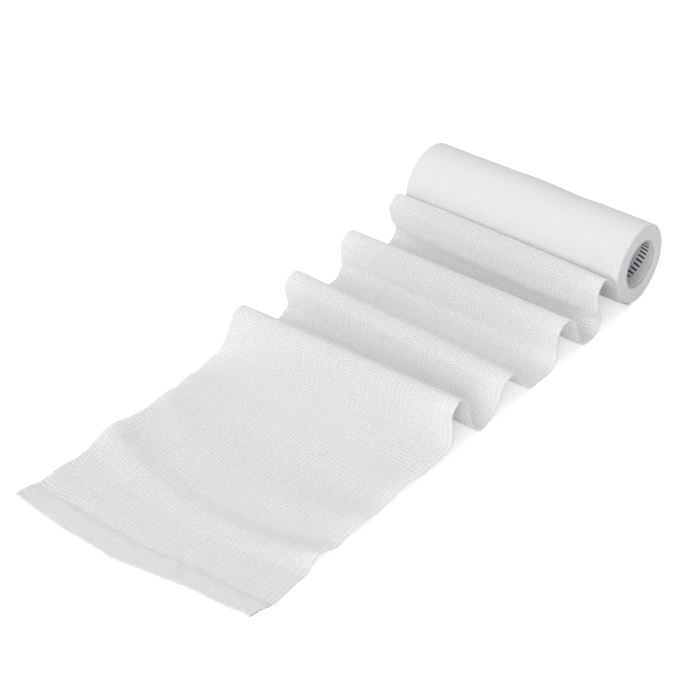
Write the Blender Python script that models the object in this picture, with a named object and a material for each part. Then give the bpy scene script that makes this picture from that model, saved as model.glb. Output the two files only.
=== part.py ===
"""A cohesive bandage roll that lies on its side, with its free end drawn out along the surface.

The cloth leaves the roll low down at the front, climbs its side, stands up in four
rounded folds and then lies flat. Its last stretch is folded over on itself as a tab.
+X runs along the core towards the open end that faces the viewer, -Y is the way in which
the free end is drawn, and z = 0 is the surface on which everything rests.
The origin is on that surface, right below the middle of the core's axis.
"""

import math
from typing import NamedTuple

import bmesh
import bpy
import numpy as np

MM = 0.001

# The wound roll and its paper core.
ROLL_WIDTH = 150 * MM
END_RADIUS = 24.1 * MM
BELLY = 1.3 * MM
BELLY_LEAN = 0.6
SAG = 0.7 * MM
AXIS_HEIGHT = 25.5 * MM
EDGE_ROUNDING = 1.2 * MM
OVAL = 0.16 * MM
OVAL_PHASE = 0.6
RIPPLE = 0.10 * MM
RIPPLE_TWIST = 4.0
NICHE = 1.2 * MM
NICHE_ANGLES = (math.radians(17.5), math.radians(70), math.radians(100))
ROLL_SEGMENTS = 72
ROLL_RINGS = 10
EDGE_TURNS = (0, 30, 60)
CORE_SEGMENTS = 60
CORE_BORE_RADIUS = 13.6 * MM
CORE_WALL = 0.8 * MM
PIECE_GAP = 0.32 * MM
HUG_GAP = 0.42 * MM
SHARP_ANGLE = math.radians(40)

# The drawn-out cloth.
CLOTH = 1.0 * MM
HALF_CLOTH = CLOTH / 2
CELLS_ACROSS = 12
STEPS_PER_KNOT = 2
HUG_ANGLES = (23, 35, 47, 58, 68, 78)
EDGE_WAVE = 0.7 * MM
EDGE_WAVE_LENGTH = 61 * MM
EDGE_RIPPLE = 0.35 * MM
EDGE_RIPPLE_LENGTH = 23 * MM
TAB_STEP = 0.9 * MM
TAB_SHEAR = 1.0 * MM
SHEAR_START = 300 * MM
TROUGH_DRIFT = 0.9 * MM
FIRST_TROUGH = 48 * MM
TROUGH_SPACING = 53 * MM
LAST_TROUGH = 180 * MM
NOSE = 0.7 * MM
NOSE_SHARE = 0.55

# Heights on a fold's sides, as shares of its own height.
HEEL_SHARE = 0.15
FLANK_SHARE = 0.5
NAPE_SHARE = 0.8
SHOULDER_SHARE = 0.95
BROW_SHARE = 0.85
WAIST_SHARE = 0.2


class Fold(NamedTuple):
    """One standing fold along one side edge: distances in front of the core's axis and heights, in mm."""

    foot: float
    heel: float
    back: float
    nape: float
    shoulder: float
    crest: float
    height: float
    brow: float
    fall: float
    waist: float
    landing: float
    lift: float


class Bow(NamedTuple):
    """How much higher a fold's crest, and how much further forward its front, is in the middle, in mm."""

    crest: float
    brow: float
    fall: float
    waist: float


class Swell(NamedTuple):
    """A low ridge or hollow of the flat stretch: distance and lift at the left, middle and right, in mm."""

    left_run: float
    left_lift: float
    middle_run: float
    middle_lift: float
    right_run: float
    right_lift: float


class EndRow(NamedTuple):
    """The free end at one share of the width: its distance and the depth of its folded tab, in mm."""

    share: float
    run: float
    tab: float


# The first fold climbs straight off the roll, so its foot, heel and back aren't used.
#        foot   heel   back   nape   shoulder crest height brow   fall   waist  landing lift
LEFT_FOLDS = (
    Fold(0.0, 0.0, 0.0, 24.6, 27.9, 33.2, 30.5, 39.5, 37.0, 32.0, 38.5, 0.0),
    Fold(55.0, 63.0, 67.4, 70.2, 73.0, 77.5, 26.5, 83.0, 84.4, 84.3, 91.0, 0.0),
    Fold(104.0, 111.0, 117.0, 121.4, 124.6, 128.6, 24.6, 134.8, 134.8, 133.9, 141.5, 0.0),
    Fold(152.0, 159.0, 164.0, 168.0, 171.2, 175.6, 26.0, 182.2, 186.4, 193.0, 201.0, 3.0),
)
RIGHT_FOLDS = (
    Fold(0.0, 0.0, 0.0, 28.3, 34.2, 39.3, 34.2, 45.5, 43.2, 38.8, 46.5, 0.0),
    Fold(53.0, 60.2, 64.2, 67.4, 71.0, 75.2, 26.6, 82.2, 83.6, 83.6, 91.5, 0.0),
    Fold(104.0, 111.8, 117.5, 121.5, 124.9, 129.4, 20.5, 136.4, 139.4, 143.2, 151.0, 0.0),
    Fold(154.0, 160.4, 164.8, 167.1, 171.3, 175.8, 31.4, 181.6, 180.9, 181.8, 192.0, 3.4),
)
#       crest brow fall waist
BOWS = (
    Bow(0.9, 1.2, 5.0, 4.6),
    Bow(0.3, 0.3, 0.5, -3.5),
    Bow(1.0, 0.0, 0.0, 0.0),
    Bow(0.4, 0.0, 0.0, 0.0),
)
FRONT_BOW_POWER = 4
#         left         middle       right
SWELLS = (
    Swell(209.0, 1.7, 204.0, 0.9, 210.0, 3.0),
    Swell(217.0, 2.0, 216.0, 2.0, 225.0, 4.0),
    Swell(226.0, 1.4, 240.0, 0.6, 240.0, 1.9),
    Swell(236.0, 2.7, 262.0, 1.6, 253.0, 4.6),
    Swell(248.0, 0.9, 273.0, 0.5, 264.0, 2.4),
    Swell(262.0, 1.0, 284.0, 0.3, 273.0, 0.9),
    Swell(278.0, 4.6, 296.0, 1.7, 288.0, 5.0),
    Swell(293.0, 0.7, 308.0, 0.2, 298.0, 0.3),
    Swell(307.0, 0.0, 317.0, 0.0, 309.0, 0.0),
    Swell(321.0, 0.6, 326.0, 0.2, 318.0, 0.0),
)
#      share  run    tab
FREE_END = (
    EndRow(0.00, 344.6, 13.3),
    EndRow(0.22, 347.3, 15.6),
    EndRow(0.45, 348.0, 15.6),
    EndRow(0.62, 343.7, 15.0),
    EndRow(0.80, 339.6, 13.2),
    EndRow(1.00, 337.0, 12.4),
)
CORNER_LIFT = 1.6 * MM
CORNER_SHARE = 0.25

WHITE_CLOTH = (0.86, 0.86, 0.87)
CORE_PAPER = (0.62, 0.60, 0.55)


def clear_scene() -> None:
    """Empties the startup scene."""
    for obj in list(bpy.data.objects):
        bpy.data.objects.remove(obj, do_unlink=True)


def make_material(name: str, colour: tuple, roughness: float) -> bpy.types.Material:
    """A plain non-metal material."""
    material = bpy.data.materials.new(name)
    material.use_nodes = True
    shader = material.node_tree.nodes["Principled BSDF"]
    shader.inputs["Base Color"].default_value = (*colour, 1.0)
    shader.inputs["Roughness"].default_value = roughness
    shader.inputs["Metallic"].default_value = 0.0
    material.diffuse_color = (*colour, 1.0)
    return material


def make_object(name: str, shape: bmesh.types.BMesh, material: bpy.types.Material) -> None:
    """Links the shape as a smooth-shaded object under this name."""
    bmesh.ops.recalc_face_normals(shape, faces=shape.faces)
    mesh = bpy.data.meshes.new(name)
    shape.to_mesh(mesh)
    shape.free()
    mesh.materials.append(material)
    mesh.shade_smooth()
    mesh.set_sharp_from_angle(angle=SHARP_ANGLE)
    bpy.context.scene.collection.objects.link(bpy.data.objects.new(name, mesh))


def niche_depth(angle: float) -> float:
    """How deep the roll is set back where its last turn has come away as the loose cloth."""
    start, full, end = NICHE_ANGLES
    if angle < start or angle > end:
        return 0.0
    share = max(0.0, angle - full) / (end - full)
    return NICHE * (1 - share * share * (3 - 2 * share))


def bulge(x: float) -> float:
    """How much fuller the roll is here than at its ends."""
    along = 2 * x / ROLL_WIDTH
    return BELLY * (1 - along * along) * (1 - BELLY_LEAN * along)


def roll_radius(x: float, angle: float) -> float:
    """Radius of the wound cloth: fuller in the middle than at the ends, sagging and a little uneven."""
    along = 2 * x / ROLL_WIDTH
    uneven = OVAL * math.sin(2 * angle + OVAL_PHASE)
    uneven += RIPPLE * math.sin(3 * angle + RIPPLE_TWIST * along)
    sag = SAG * max(0.0, math.cos(angle)) ** 2
    return END_RADIUS + bulge(x) + sag + uneven - niche_depth(angle)


def around_axis(x: float, radius: float, angle: float) -> tuple:
    """A point at this radius, at an angle from straight down towards the front."""
    return (x, -radius * math.sin(angle), AXIS_HEIGHT - radius * math.cos(angle))


def roll_point(x: float, radius: float, angle: float) -> tuple:
    """A point of the roll's outside, pressed flat where it would go below the surface."""
    point = around_axis(x, radius, angle)
    return (point[0], point[1], max(0.0, point[2]))


def add_ring(shape: bmesh.types.BMesh, points: list) -> list:
    """Adds one closed ring of vertices."""
    return [shape.verts.new(point) for point in points]


def join_rings(shape: bmesh.types.BMesh, rings: list) -> None:
    """Joins each ring to the next one, and the last to the first."""
    for ring, following in zip(rings, rings[1:] + rings[:1]):
        for i in range(len(ring)):
            j = (i + 1) % len(ring)
            shape.faces.new((ring[i], ring[j], following[j], following[i]))


def turn_angles(segments: int) -> list:
    """Even angles of one full turn."""
    return [2 * math.pi * i / segments for i in range(segments)]


def build_wound_roll(material: bpy.types.Material) -> None:
    """The wound cloth as one ring-shaped solid with soft end edges and a small flat spot."""
    shape = bmesh.new()
    angles = turn_angles(ROLL_SEGMENTS)
    half = ROLL_WIDTH / 2
    bore = CORE_BORE_RADIUS + CORE_WALL + PIECE_GAP
    straight = half - EDGE_ROUNDING
    rings = []
    for side in (-1, 1):
        for turn in EDGE_TURNS if side < 0 else EDGE_TURNS[::-1]:
            lean = math.radians(turn)
            x = side * (half - EDGE_ROUNDING * (1 - math.cos(lean)))
            inset = EDGE_ROUNDING * (1 - math.sin(lean))
            points = [roll_point(x, roll_radius(x, a) - inset, a) for a in angles]
            rings.append(add_ring(shape, points))
        if side > 0:
            break
        for i in range(ROLL_RINGS + 1):
            x = -straight + 2 * straight * i / ROLL_RINGS
            points = [roll_point(x, roll_radius(x, a), a) for a in angles]
            rings.append(add_ring(shape, points))
    for x in (half, -half):
        rings.append(add_ring(shape, [around_axis(x, bore, a) for a in angles]))
    join_rings(shape, rings)
    make_object("wound_roll", shape, material)


def build_core_tube(material: bpy.types.Material) -> None:
    """The plain paper core on which the cloth is wound, flush with both ends."""
    shape = bmesh.new()
    angles = turn_angles(CORE_SEGMENTS)
    half = ROLL_WIDTH / 2
    outside = CORE_BORE_RADIUS + CORE_WALL
    corners = ((-half, outside), (half, outside), (half, CORE_BORE_RADIUS), (-half, CORE_BORE_RADIUS))
    rings = [add_ring(shape, [around_axis(x, r, a) for a in angles]) for x, r in corners]
    join_rings(shape, rings)
    make_object("core_tube", shape, material)


def mix(a: float, b: float, share: float) -> float:
    """The value at this share of the way from a to b."""
    return a + (b - a) * share


def bent(left: float, middle: float, right: float, share: float) -> float:
    """The value at this share of the width, on a smooth bow through the three that are given."""
    straight = mix(left, right, share)
    return straight + 4 * share * (1 - share) * (middle - (left + right) / 2)


def fold_at(index: int, share: float) -> Fold:
    """One fold's sizes at this share of the width, left edge to right edge."""
    pairs = zip(LEFT_FOLDS[index], RIGHT_FOLDS[index])
    return Fold(*(mix(left, right, share) for left, right in pairs))


def free_end_at(share: float) -> tuple:
    """Distance of the free end and depth of its tab at this share of the width, in mm."""
    shares = [row.share for row in FREE_END]
    run = np.interp(share, shares, [row.run for row in FREE_END])
    tab = np.interp(share, shares, [row.tab for row in FREE_END])
    return float(run), float(tab)


def hug_knots(x: float) -> list:
    """Where the cloth still lies against the roll, as (run, height)."""
    knots = []
    for degrees in HUG_ANGLES:
        angle = math.radians(degrees)
        radius = roll_radius(x, angle) + HUG_GAP + HALF_CLOTH
        point = around_axis(x, radius, angle)
        knots.append((-point[1], point[2]))
    return knots


def fold_knots(index: int, share: float) -> list:
    """Knots of one standing fold in metres, from its foot to its landing."""
    fold = fold_at(index, share)
    bow = BOWS[index]
    middle = 1 - (2 * share - 1) ** FRONT_BOW_POWER
    height = (fold.height + 4 * share * (1 - share) * bow.crest) * MM
    off_roll = bulge((share - 0.5) * ROLL_WIDTH) if index == 0 else 0.0
    knots = [
        (fold.foot * MM, HALF_CLOTH),
        (fold.heel * MM, height * HEEL_SHARE),
        (fold.back * MM, height * FLANK_SHARE),
        (fold.nape * MM + off_roll, height * NAPE_SHARE),
        (fold.shoulder * MM, height * SHOULDER_SHARE),
        (fold.crest * MM, height - HALF_CLOTH),
        ((fold.brow + middle * bow.brow) * MM, height * BROW_SHARE),
        ((fold.fall + middle * bow.fall) * MM, height * FLANK_SHARE),
        ((fold.waist + middle * bow.waist) * MM, height * WAIST_SHARE),
        (fold.landing * MM, HALF_CLOTH + fold.lift * MM),
    ]
    return knots[3:] if index == 0 else knots


def profile_knots(share: float) -> list:
    """Every knot of the cloth's middle surface at this share of the width, up to the tab's inner line."""
    x = (share - 0.5) * ROLL_WIDTH
    knots = hug_knots(x)
    for index in range(len(LEFT_FOLDS)):
        knots += fold_knots(index, share)
    for swell in SWELLS:
        run = bent(swell.left_run, swell.middle_run, swell.right_run, share)
        lift = bent(swell.left_lift, swell.middle_lift, swell.right_lift, share)
        knots.append((run * MM, HALF_CLOTH + lift * MM))
    run, tab = free_end_at(share)
    knots.append(((run - tab) * MM - TAB_STEP, HALF_CLOTH))
    return knots


def curve_through(knots: list) -> np.ndarray:
    """An even-handed smooth curve (centripetal Catmull-Rom) through the knots, kept above the surface."""
    points = np.array(knots)
    before = 2 * points[0] - points[1]
    after = 2 * points[-1] - points[-2]
    points = np.vstack([before, points, after])
    spans = np.sqrt(np.linalg.norm(np.diff(points, axis=0), axis=1))
    curve = []
    for i in range(1, len(points) - 2):
        p0, p1, p2, p3 = points[i - 1 : i + 3]
        d1, d2, d3 = spans[i - 1 : i + 2]
        m1 = (p1 - p0) / d1 - (p2 - p0) / (d1 + d2) + (p2 - p1) / d2
        m2 = (p2 - p1) / d2 - (p3 - p1) / (d2 + d3) + (p3 - p2) / d3
        for step in range(STEPS_PER_KNOT):
            t = step / STEPS_PER_KNOT
            curve.append(
                (2 * t**3 - 3 * t**2 + 1) * p1
                + (t**3 - 2 * t**2 + t) * m1 * d2
                + (3 * t**2 - 2 * t**3) * p2
                + (t**3 - t**2) * m2 * d2
            )
    curve.append(points[-2])
    curve = np.array(curve)
    curve[:, 1] = np.maximum(curve[:, 1], HALF_CLOTH)
    return curve


def tab_rows(share: float) -> list:
    """The folded tab's stations after the curve: (run, thickness above, thickness below)."""
    run, tab = free_end_at(share)
    end = run * MM
    inner = end - tab * MM
    doubled = HALF_CLOTH + CLOTH
    return [
        (inner, doubled, HALF_CLOTH),
        (mix(inner, end, 0.5), doubled, HALF_CLOTH),
        (end - NOSE, doubled, HALF_CLOTH),
        (end, doubled * NOSE_SHARE, HALF_CLOTH * NOSE_SHARE),
    ]


def edge_shift(run: float, side: float) -> float:
    """How far a side edge wanders from its straight line."""
    wave = EDGE_WAVE * math.sin(2 * math.pi * run / EDGE_WAVE_LENGTH + side)
    return wave + EDGE_RIPPLE * math.sin(2 * math.pi * run / EDGE_RIPPLE_LENGTH + 2 * side)


def sideways(run: float, inner: float, end: float) -> float:
    """How far the cloth drifts to the right: in each trough and before its tab, along which it comes back."""
    if run <= LAST_TROUGH:
        phase = 2 * math.pi * (run - FIRST_TROUGH) / TROUGH_SPACING
        return TROUGH_DRIFT * (1 + math.cos(phase)) / 2
    if run <= inner:
        return TAB_SHEAR * max(0.0, (run - SHEAR_START) / (inner - SHEAR_START))
    return TAB_SHEAR * (1 - 2 * (run - inner) / (end - inner))


def cloth_grid() -> tuple:
    """Middle surface as a grid of points, with the thickness above and below each station."""
    columns = []
    above = []
    below = []
    for i in range(CELLS_ACROSS + 1):
        share = i / CELLS_ACROSS
        curve = curve_through(profile_knots(share))
        tabs = tab_rows(share)
        runs = np.append(curve[:, 0], [row[0] for row in tabs])
        corner = CORNER_LIFT * max(0.0, 1 - share / CORNER_SHARE) ** 2
        lifts = [HALF_CLOTH + corner * k / len(tabs) for k in range(1, len(tabs) + 1)]
        heights = np.append(curve[:, 1], lifts)
        middle = (share - 0.5) * ROLL_WIDTH
        pull = 2 * share - 1
        inner, end = tabs[0][0], tabs[-1][0]
        edge = abs(pull) * pull
        across = [middle + edge * edge_shift(run, pull) + sideways(run, inner, end) for run in runs]
        columns.append(np.column_stack([across, -runs, heights]))
        plain = [HALF_CLOTH] * len(curve)
        above.append(plain + [row[1] for row in tabs])
        below.append(plain + [row[2] for row in tabs])
    return np.array(columns), np.array(above), np.array(below)


def grid_normals(grid: np.ndarray) -> np.ndarray:
    """Unit normals of the middle surface, pointing to the cloth's upper side."""
    across = np.gradient(grid, axis=0)
    along = np.gradient(grid, axis=1)
    normals = np.cross(along, across)
    return normals / np.linalg.norm(normals, axis=2, keepdims=True)


def build_loose_end(material: bpy.types.Material) -> None:
    """The drawn-out cloth as one sheet, from the roll's underside to the folded tab."""
    grid, above, below = cloth_grid()
    normals = grid_normals(grid)
    shape = bmesh.new()
    top = grid + normals * above[:, :, None]
    bottom = grid - normals * below[:, :, None]
    bottom[:, :, 2] = np.maximum(bottom[:, :, 2], 0.0)
    tops = [add_ring(shape, list(column)) for column in top]
    bottoms = [add_ring(shape, list(column)) for column in bottom]
    last = len(tops) - 1
    for i in range(last):
        for j in range(len(tops[i]) - 1):
            shape.faces.new((tops[i][j], tops[i + 1][j], tops[i + 1][j + 1], tops[i][j + 1]))
            shape.faces.new((bottoms[i][j], bottoms[i][j + 1], bottoms[i + 1][j + 1], bottoms[i + 1][j]))
    for i in range(last):
        for j in (0, -1):
            shape.faces.new((tops[i][j], bottoms[i][j], bottoms[i + 1][j], tops[i + 1][j]))
    for i in (0, last):
        for j in range(len(tops[i]) - 1):
            shape.faces.new((tops[i][j], tops[i][j + 1], bottoms[i][j + 1], bottoms[i][j]))
    make_object("loose_end", shape, material)


def main() -> None:
    """Builds the three pieces."""
    clear_scene()
    roll_cloth = make_material("roll_cloth", WHITE_CLOTH, 0.9)
    loose_cloth = make_material("loose_cloth", WHITE_CLOTH, 0.9)
    core_paper = make_material("core_paper", CORE_PAPER, 0.85)
    build_wound_roll(roll_cloth)
    build_core_tube(core_paper)
    build_loose_end(loose_cloth)


main()
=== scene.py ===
"""Looks of a cohesive bandage roll: white crinkled cloth wound on a paper core, its free end drawn out.

The cloth leaves the roll low down at the front, stands up in four rounded folds and then lies flat.
Its last stretch is folded over on itself as a tab. +X runs along the core, -Y is the way in which the
free end is drawn, and z = 0 is the surface on which everything rests. Lengths are in metres.
"""

import logging
import math
from dataclasses import dataclass, field
from enum import Enum
from typing import NamedTuple

import bmesh
import bpy
import numpy as np
from mathutils import Matrix, Vector


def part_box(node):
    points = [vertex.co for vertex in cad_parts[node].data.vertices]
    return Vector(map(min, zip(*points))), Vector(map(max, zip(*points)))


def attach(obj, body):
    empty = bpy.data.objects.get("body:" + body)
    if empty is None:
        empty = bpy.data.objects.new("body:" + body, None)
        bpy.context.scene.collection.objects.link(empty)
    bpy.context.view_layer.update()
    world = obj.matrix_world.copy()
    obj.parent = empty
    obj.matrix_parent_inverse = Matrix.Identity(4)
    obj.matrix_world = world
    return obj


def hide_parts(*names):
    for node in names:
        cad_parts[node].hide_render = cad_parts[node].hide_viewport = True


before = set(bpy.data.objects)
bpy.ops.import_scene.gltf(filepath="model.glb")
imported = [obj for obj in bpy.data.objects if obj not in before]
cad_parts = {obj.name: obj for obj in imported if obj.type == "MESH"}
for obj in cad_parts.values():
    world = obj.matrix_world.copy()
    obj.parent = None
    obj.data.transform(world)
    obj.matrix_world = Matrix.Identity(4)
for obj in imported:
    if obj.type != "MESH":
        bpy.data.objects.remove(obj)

LOG = logging.getLogger("bandage_roll")
MM = 0.001
BODY = "root"
CLOTH_MAP = "cloth_plan"
ACROSS = Vector((1.0, 0.0, 0.0))
FULL_TURN = 2 * math.pi
THREAD_PITCH = 2.72 * MM
PUCKER_PITCH = 1.62 * MM
PATCH_SIZE = 12 * MM
CORE_GAP = 0.32 * MM


class Slot(Enum):
    """The record's material slots."""

    CLOTH = "bandage_cloth"
    PAPER = "core_paper"


class Side(Enum):
    """The two ends of the roll."""

    LEFT = -1
    RIGHT = 1


# ---------------------------------------------------------------------------------------------
# Small helpers
# ---------------------------------------------------------------------------------------------


def read_points(mesh: bpy.types.Mesh) -> np.ndarray:
    """The mesh's vertex places.

    Args:
        mesh: the mesh that is read.

    Returns:
        One row of x, y, z for each vertex.
    """
    points = np.empty(len(mesh.vertices) * 3)
    mesh.vertices.foreach_get("co", points)
    return points.reshape(-1, 3)


def write_points(mesh: bpy.types.Mesh, points: np.ndarray) -> None:
    """Puts the mesh's vertices at these places."""
    mesh.vertices.foreach_set("co", points.ravel())
    mesh.update()


def write_map(mesh: bpy.types.Mesh, across: np.ndarray, along: np.ndarray) -> None:
    """Lays the cloth's own plan on the mesh as a UV map, in metres.

    Args:
        mesh: the mesh that gets the map.
        across: distance over the cloth's width, one value for each face corner.
        along: distance along the cloth's length, one value for each face corner.
    """
    layer = mesh.uv_layers.new(name=CLOTH_MAP)
    layer.data.foreach_set("uv", np.column_stack([across, along]).ravel())


def corner_vertices(mesh: bpy.types.Mesh) -> np.ndarray:
    """The vertex index of each face corner.

    Args:
        mesh: the mesh that is read.

    Returns:
        One index for each corner.
    """
    index = np.empty(len(mesh.loops), dtype=np.int32)
    mesh.loops.foreach_get("vertex_index", index)
    return index


def place_piece(name: str, shape: bmesh.types.BMesh) -> bpy.types.Object:
    """Links a shape as a smooth-shaded object that rides on the body.

    Args:
        name: the piece's name.
        shape: its mesh, which is freed.

    Returns:
        The new object, at the origin.
    """
    mesh = bpy.data.meshes.new(name)
    shape.to_mesh(mesh)
    shape.free()
    mesh.shade_smooth()
    piece = bpy.data.objects.new(name, mesh)
    bpy.context.scene.collection.objects.link(piece)
    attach(piece, BODY)
    return piece


def eased(share: np.ndarray) -> np.ndarray:
    """A share of the way, eased softly at both ends."""
    return share * share * share * (share * (share * 6 - 15) + 10)


@dataclass(frozen=True)
class Unevenness:
    """Seeded smooth noise over a plane, between -1 and 1."""

    seed: int
    cells: int = 128

    def at(self, u: np.ndarray, v: np.ndarray) -> np.ndarray:
        """The noise at these places, whose unit is one lattice cell.

        Args:
            u: first coordinate.
            v: second coordinate.

        Returns:
            One value for each place.
        """
        lattice = np.random.default_rng(self.seed).uniform(-1, 1, (self.cells, self.cells))
        u, v = np.broadcast_arrays(u, v)
        left = np.floor(u).astype(int)
        low = np.floor(v).astype(int)
        s = eased(u - left)
        t = eased(v - low)
        wrap = self.cells
        a = lattice[left % wrap, low % wrap]
        b = lattice[(left + 1) % wrap, low % wrap]
        c = lattice[left % wrap, (low + 1) % wrap]
        d = lattice[(left + 1) % wrap, (low + 1) % wrap]
        return (a * (1 - s) + b * s) * (1 - t) + (c * (1 - s) + d * s) * t


# ---------------------------------------------------------------------------------------------
# Materials
# ---------------------------------------------------------------------------------------------


class NodeBoard:
    """Adds nodes to one tree and links them."""

    def __init__(self, tree: bpy.types.NodeTree) -> None:
        """Takes the tree to work on."""
        self.tree = tree

    def add(self, kind: str, **settings: object) -> bpy.types.Node:
        """Adds a node and sets its properties.

        Args:
            kind: the node's type.
            settings: its properties and their values.

        Returns:
            The new node.
        """
        node = self.tree.nodes.new(kind)
        for name, value in settings.items():
            setattr(node, name, value)
        return node

    def feed(self, socket: bpy.types.NodeSocket, value: object) -> None:
        """Links a socket to the input, or sets the input to a plain value."""
        if isinstance(value, bpy.types.NodeSocket):
            self.tree.links.new(value, socket)
        else:
            socket.default_value = value

    def math(self, operation: str, *values: object) -> bpy.types.NodeSocket:
        """One Math node's result.

        Args:
            operation: the node's operation.
            values: its inputs, as sockets or numbers.

        Returns:
            The result socket.
        """
        node = self.add("ShaderNodeMath", operation=operation)
        for socket, value in zip(node.inputs, values):
            self.feed(socket, value)
        return node.outputs[0]

    def times(self, first: object, second: object) -> bpy.types.NodeSocket:
        """Two values multiplied."""
        return self.math("MULTIPLY", first, second)

    def plus(self, first: object, second: object) -> bpy.types.NodeSocket:
        """Two values added."""
        return self.math("ADD", first, second)

    def less(self, first: object, second: object) -> bpy.types.NodeSocket:
        """The first value less the second."""
        return self.math("SUBTRACT", first, second)

    def over(self, first: object, second: object) -> bpy.types.NodeSocket:
        """The first value divided by the second."""
        return self.math("DIVIDE", first, second)

    def power(self, value: object, exponent: float) -> bpy.types.NodeSocket:
        """A value raised to a power."""
        return self.math("POWER", value, exponent)

    def scaled(self, value: object, factor: object, added: object) -> bpy.types.NodeSocket:
        """A value times a factor, with something added."""
        return self.math("MULTIPLY_ADD", value, factor, added)

    def cosine(self, turns: object) -> bpy.types.NodeSocket:
        """A cosine wave, from -1 to 1, at this count of full turns."""
        return self.math("COSINE", self.times(turns, FULL_TURN))

    def remap(self, value: object, low: object, high: object, start: object = 0.0, end: object = 1.0,
              smooth: bool = True) -> bpy.types.NodeSocket:
        """A value carried from one range to another and held inside it.

        Args:
            value: what is carried over.
            low: the value that becomes start.
            high: the value that becomes end.
            start: the result at low.
            end: the result at high.
            smooth: whether the way between is a soft curve.

        Returns:
            The result socket.
        """
        kind = "SMOOTHSTEP" if smooth else "LINEAR"
        node = self.add("ShaderNodeMapRange", interpolation_type=kind)
        for socket, given in zip(node.inputs, (value, low, high, start, end)):
            self.feed(socket, given)
        return node.outputs[0]

    def noise(self, vector: bpy.types.NodeSocket, scale: object, detail: float = 2.0,
              roughness: float = 0.5) -> bpy.types.NodeSocket:
        """A soft noise's value, from 0 to 1.

        Args:
            vector: where it is read.
            scale: how many lumps there are to a metre.
            detail: how many finer layers are added.
            roughness: how strong those are.

        Returns:
            The value socket.
        """
        node = self.add("ShaderNodeTexNoise")
        self.feed(node.inputs["Vector"], vector)
        self.feed(node.inputs["Scale"], scale)
        self.feed(node.inputs["Detail"], detail)
        self.feed(node.inputs["Roughness"], roughness)
        return node.outputs["Fac"]

    def blend(self, share: object, first: object, second: object) -> bpy.types.NodeSocket:
        """Two colours mixed by a share from 0 to 1.

        Args:
            share: how much there is of the second colour.
            first: the colour at 0.
            second: the colour at 1.

        Returns:
            The mixed colour.
        """
        node = self.add("ShaderNodeMix", data_type="RGBA", clamp_factor=True)
        for socket, value in zip((node.inputs[0], node.inputs[6], node.inputs[7]), (share, first, second)):
            self.feed(socket, value)
        return node.outputs[2]

    def split(self, vector: bpy.types.NodeSocket) -> tuple:
        """A vector's x, y and z.

        Args:
            vector: the vector that is taken apart.

        Returns:
            Its three parts.
        """
        node = self.add("ShaderNodeSeparateXYZ")
        self.feed(node.inputs[0], vector)
        return tuple(node.outputs)

    def join(self, x: object, y: object, z: object = 0.0) -> bpy.types.NodeSocket:
        """A vector from x, y and z.

        Args:
            x: its first part.
            y: its second part.
            z: its third part.

        Returns:
            The vector's socket.
        """
        node = self.add("ShaderNodeCombineXYZ")
        for socket, value in zip(node.inputs, (x, y, z)):
            self.feed(socket, value)
        return node.outputs[0]

    def around_axis(self, place: bpy.types.NodeSocket, axis_height: float) -> tuple:
        """Where a place is about the core's axis.

        Args:
            place: the place, in the object's coordinates.
            axis_height: the axis's height above the surface.

        Returns:
            Its place along the core, its distance from the axis, and its angle in full turns.
        """
        x, y, z = self.split(place)
        z = self.less(z, axis_height)
        radius = self.math("SQRT", self.plus(self.times(y, y), self.times(z, z)))
        return x, radius, self.over(self.math("ARCTAN2", y, z), FULL_TURN)

    def place(self, group: bpy.types.NodeTree, **values: object) -> bpy.types.Node:
        """Places a node group with its own values.

        Args:
            group: the group.
            values: its inputs, named with _ for a space, as sockets or numbers.

        Returns:
            The placed node.
        """
        node = self.add("ShaderNodeGroup", node_tree=group)
        for name, value in values.items():
            self.feed(node.inputs[name.replace("_", " ")], value)
        return node

    def bump(self, height: bpy.types.NodeSocket, depth: float) -> bpy.types.NodeSocket:
        """The surface normal over a relief.

        Args:
            height: the height, from 0 to 1.
            depth: how far a height of 1 stands above one of 0, in metres.

        Returns:
            The changed normal.
        """
        node = self.add("ShaderNodeBump")
        self.feed(node.inputs["Strength"], 1.0)
        self.feed(node.inputs["Distance"], depth)
        self.feed(node.inputs["Height"], height)
        return node.outputs[0]


def new_group(name: str, inputs: dict, outputs: tuple) -> tuple:
    """Starts a shader node group.

    Args:
        name: the group's name.
        inputs: each input's name and starting value, a number or a vector's tuple.
        outputs: the names of its number outputs.

    Returns:
        The group, its board, the input node's sockets and the output node's sockets.
    """
    group = bpy.data.node_groups.new(name, "ShaderNodeTree")
    for label, value in inputs.items():
        kind = "NodeSocketVector" if isinstance(value, tuple) else "NodeSocketFloat"
        socket = group.interface.new_socket(label, in_out="INPUT", socket_type=kind)
        socket.default_value = value
    for label in outputs:
        group.interface.new_socket(label, in_out="OUTPUT", socket_type="NodeSocketFloat")
    board = NodeBoard(group)
    entry = board.add("NodeGroupInput")
    leave = board.add("NodeGroupOutput")
    return group, board, entry.outputs, leave.inputs


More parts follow.
